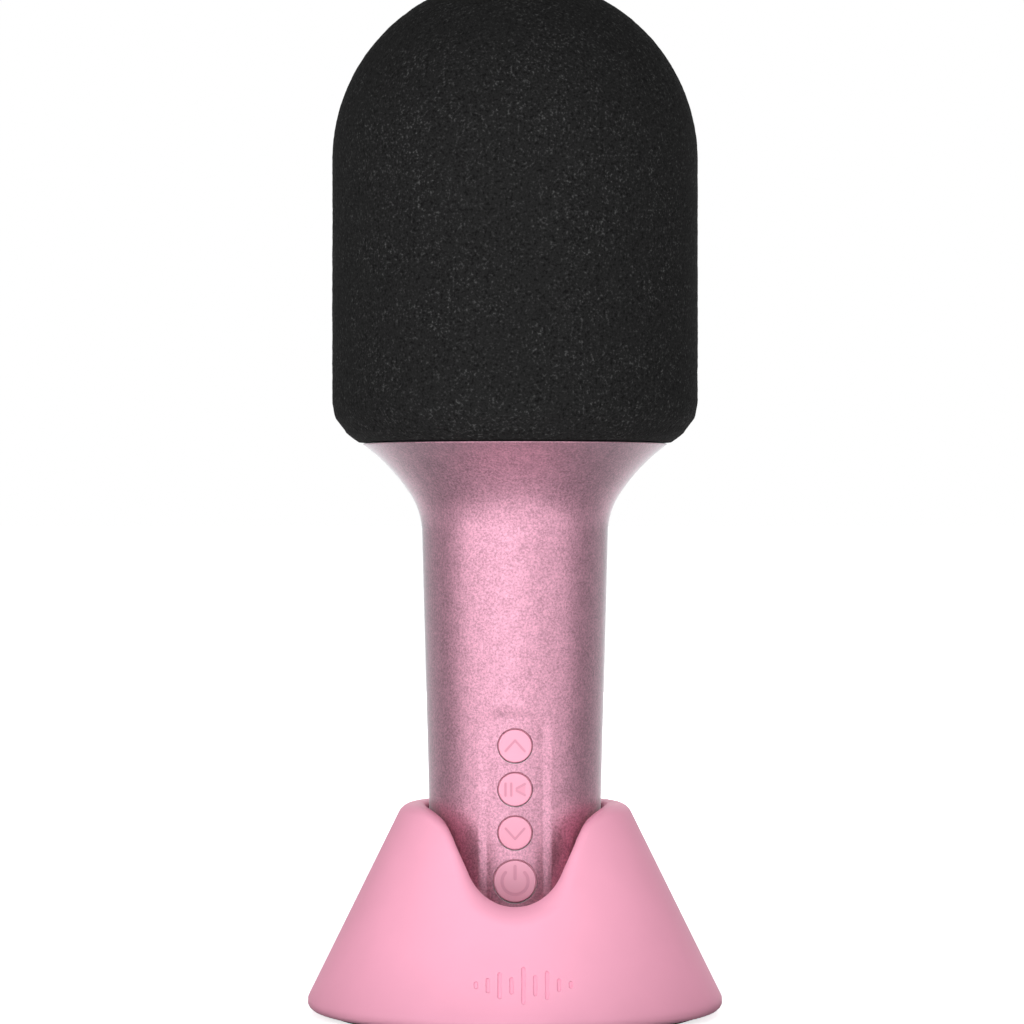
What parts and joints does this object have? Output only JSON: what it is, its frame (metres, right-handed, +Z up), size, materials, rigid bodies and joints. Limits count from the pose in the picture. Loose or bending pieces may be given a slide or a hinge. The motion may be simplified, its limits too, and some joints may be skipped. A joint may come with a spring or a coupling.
{
  "type": "karaoke microphone",
  "caption": "Handheld karaoke microphone with a foam windscreen, flared handle, front button column and a conical table stand with a notched socket",
  "frame": {"origin": "on the table at the centre of the stand's foot, under the microphone's axis", "axes": "+Z up along the microphone's axis, the buttons and the stand's notch face -Y, +X to the viewer's right"},
  "size_m": [0.0946, 0.0946, 0.2373],
  "materials": {
    "pink_lacquer": "satin",
    "pink_satin": "satin",
    "pink_key": "satin",
    "black_foam": "matte",
    "black_plastic": "matte",
    "white_plastic": "satin",
    "dark_rubber": "matte",
    "steel": "satin",
    "zinc": "satin",
    "paper_cone": "matte",
    "copper": "satin",
    "ferrite": "matte",
    "circuit_green": "satin",
    "cell_wrap": "satin",
    "red_wire": "satin"
  },
  "bodies": {
    "stand": {"stand_shell": "pink_satin", "stand_base_plate": "black_plastic", "stand_screw_1": "zinc", "stand_screw_2": "zinc", "stand_screw_3": "zinc", "stand_screw_4": "zinc", "stand_foot_ring": "dark_rubber", "stand_socket_pad": "dark_rubber"},
    "microphone": {"windscreen_foam": "black_foam", "grille_cage": "steel", "head_collar": "black_plastic", "speaker_baffle": "black_plastic", "speaker_basket": "zinc", "speaker_top_plate": "zinc", "speaker_magnet": "ferrite", "speaker_pole": "zinc", "speaker_surround": "dark_rubber", "capsule_bracket": "black_plastic", "capsule_mount": "dark_rubber", "mic_capsule": "steel", "handle_shell": "pink_lacquer", "handle_chassis": "black_plastic", "button_board": "circuit_green", "switch_up": "black_plastic", "switch_play": "black_plastic", "switch_down": "black_plastic", "switch_power": "black_plastic", "battery_cell": "cell_wrap", "main_board": "circuit_green", "bluetooth_module": "zinc", "amplifier_chip": "black_plastic", "capacitor_1": "steel", "capacitor_2": "steel", "board_screw_1": "zinc", "board_screw_2": "zinc", "end_cap": "pink_satin", "end_cap_screw_1": "zinc", "end_cap_screw_2": "zinc", "charge_port": "steel", "charge_board": "circuit_green", "capsule_lead": "black_plastic", "speaker_lead": "red_wire", "battery_lead": "red_wire", "button_lead": "black_plastic"},
    "button_up": {"button_up_cap": "pink_key", "button_up_plunger": "white_plastic"},
    "button_play": {"button_play_cap": "pink_key", "button_play_plunger": "white_plastic"},
    "button_down": {"button_down_cap": "pink_key", "button_down_plunger": "white_plastic"},
    "button_power": {"button_power_cap": "pink_key", "button_power_plunger": "white_plastic"},
    "speaker_cone_body": {"speaker_cone": "paper_cone", "speaker_voice_coil": "copper", "speaker_dust_cap": "paper_cone"}
  },
  "joints": [
    {"name": "mic_lift", "type": "slide", "parent": "stand", "child": "microphone", "axis": [0, 0, 1], "range_m": [0, 0.06]},
    {"name": "press_up", "type": "slide", "parent": "microphone", "child": "button_up", "axis": [0, 0.9997, 0.0263], "range_m": [0, 0.0006], "stiffness_N_per_m": 800, "springref_m": -0.0012},
    {"name": "press_play", "type": "slide", "parent": "microphone", "child": "button_play", "axis": [0, 0.9997, 0.0263], "range_m": [0, 0.0006], "stiffness_N_per_m": 800, "springref_m": -0.0012},
    {"name": "press_down", "type": "slide", "parent": "microphone", "child": "button_down", "axis": [0, 0.9997, 0.0263], "range_m": [0, 0.0006], "stiffness_N_per_m": 800, "springref_m": -0.0012},
    {"name": "press_power", "type": "slide", "parent": "microphone", "child": "button_power", "axis": [0, 0.9997, 0.0263], "range_m": [0, 0.0006], "stiffness_N_per_m": 800, "springref_m": -0.0012},
    {"name": "cone_travel", "type": "slide", "parent": "microphone", "child": "speaker_cone_body", "axis": [0, 0, 1], "range_m": [-0.001, 0.001], "stiffness_N_per_m": 1500, "deforming": ["speaker_surround"]}
  ]
}
